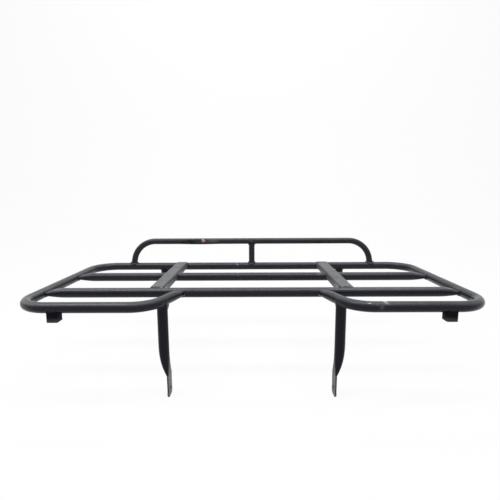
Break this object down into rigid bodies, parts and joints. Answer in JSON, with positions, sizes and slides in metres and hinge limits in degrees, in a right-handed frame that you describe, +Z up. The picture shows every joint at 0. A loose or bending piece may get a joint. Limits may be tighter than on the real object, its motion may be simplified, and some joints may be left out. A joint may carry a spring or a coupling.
{
  "type": "all-terrain vehicle front rack",
  "caption": "Welded tube cargo rack with a rounded outline, a steering cut-out, flat deck channels, a raised front fence and pinched legs with bolt holes.",
  "frame": {"origin": "on the ground, in the middle of the rack's outline seen from above", "axes": "+X to the rider's right along the long side, +Y to the front of the vehicle, +Z up from the ground to the deck"},
  "size_m": [0.875, 0.4104, 0.2663],
  "materials": {
    "frame_coat": "satin",
    "fence_coat": "satin",
    "channel_coat": "worn satin",
    "leg_coat": "satin",
    "foot_coat": "satin",
    "weld_coat": "satin"
  },
  "bodies": {
    "root": {"perimeter_tube": "frame_coat", "rear_cross_tube": "frame_coat", "middle_cross_tube": "frame_coat", "fence_hoop": "fence_coat", "fence_post": "fence_coat", "deck_channel_left": "channel_coat", "deck_channel_right": "channel_coat", "rear_leg_left": "leg_coat", "rear_leg_right": "leg_coat", "front_leg_left": "leg_coat", "front_leg_right": "leg_coat", "corner_foot_left": "foot_coat", "corner_foot_right": "foot_coat", "cross_tube_welds": "weld_coat", "foot_welds": "weld_coat", "channel_welds": "weld_coat"}
  },
  "joints": []
}
